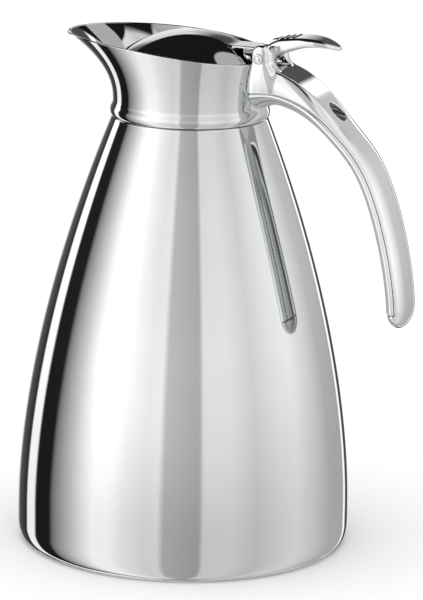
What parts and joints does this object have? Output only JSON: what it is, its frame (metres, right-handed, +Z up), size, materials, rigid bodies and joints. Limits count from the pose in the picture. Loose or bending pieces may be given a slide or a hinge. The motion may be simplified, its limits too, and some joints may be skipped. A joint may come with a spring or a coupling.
{
  "type": "coffee pot",
  "caption": "Vacuum-insulated steel coffee carafe with a broad pouring collar, an open-ended handle and a domed lid lifted by a thumb lever.",
  "frame": {"origin": "the centre of the base, on the surface that the carafe stands on", "axes": "+Z up along the flask's axis, +X towards the handle, -X towards the spout, and y = 0 is the plane of symmetry"},
  "size_m": [0.169, 0.1402, 0.2188],
  "materials": {
    "polished_steel": "mirror-polished stainless sheet with faint circumferential polishing lines",
    "polished_casting": "polished zinc casting, chromed, with softly rounded edges",
    "satin_steel": "satin stainless sheet, lightly brushed",
    "pin_steel": "turned or drawn stainless",
    "black_plastic": "fine-grained black moulding",
    "silicone": "translucent food-grade silicone, matt",
    "foam": "closed-cell foam insert",
    "braze": "solidified brazing metal"
  },
  "bodies": {
    "carafe": {"outer_shell": "polished_steel", "base_plate": "polished_steel", "bottom_closure": "satin_steel", "vacuum_seal_bead": "braze", "getter_disc": "satin_steel", "inner_flask": "satin_steel", "mouth_ring": "satin_steel", "neck_gasket": "silicone", "spout_collar": "polished_steel", "handle_body": "polished_casting", "handle_liner": "polished_casting", "handle_inlay": "black_plastic", "handle_screw_left": "satin_steel", "handle_screw_right": "satin_steel", "hinge_pin": "pin_steel", "hinge_pin_cap": "pin_steel", "lid_spring": "pin_steel"},
    "lid": {"lid_cover": "polished_steel", "thumb_lever": "polished_casting", "lever_rivet": "pin_steel", "lid_base": "black_plastic", "lid_insulation": "foam", "lid_screw": "pin_steel", "stopper": "black_plastic", "stopper_seal": "silicone"}
  },
  "joints": [
    {"name": "lid_hinge", "type": "hinge", "parent": "carafe", "child": "lid", "pos_m": [0.0344, 0, 0.21], "axis": [0, 1, 0], "range_deg": [0, 36], "stiffness_Nm_per_rad": 0.12, "springref_deg": -20.05, "deforming": ["lid_spring"]}
  ]
}
